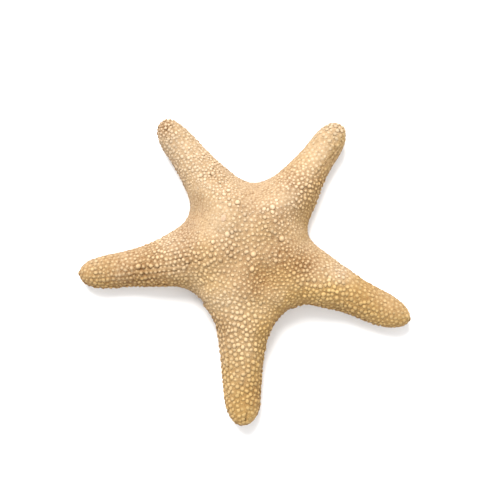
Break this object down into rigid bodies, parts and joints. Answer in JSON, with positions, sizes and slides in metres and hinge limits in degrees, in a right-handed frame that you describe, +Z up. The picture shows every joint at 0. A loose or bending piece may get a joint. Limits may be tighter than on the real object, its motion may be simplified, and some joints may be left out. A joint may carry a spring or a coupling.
{
  "type": "dried starfish",
  "caption": "Dried starfish with long tapering arms around a low domed disc, lying on its grooved underside; a natural ornament.",
  "frame": {"origin": "middle of the starfish's bounding box in plan, on the plane its underside rests on", "axes": "+Z up out of the back of the disc; +X along the longest span, from the tip of the left arm towards the tip of the right arm; +Y towards the side where the two shorter arms point"},
  "size_m": [0.1502, 0.1386, 0.0239],
  "materials": {
    "dried_skin": "dry, matte, finely beaded"
  },
  "bodies": {
    "root": {"starfish": "dried_skin"}
  },
  "joints": []
}
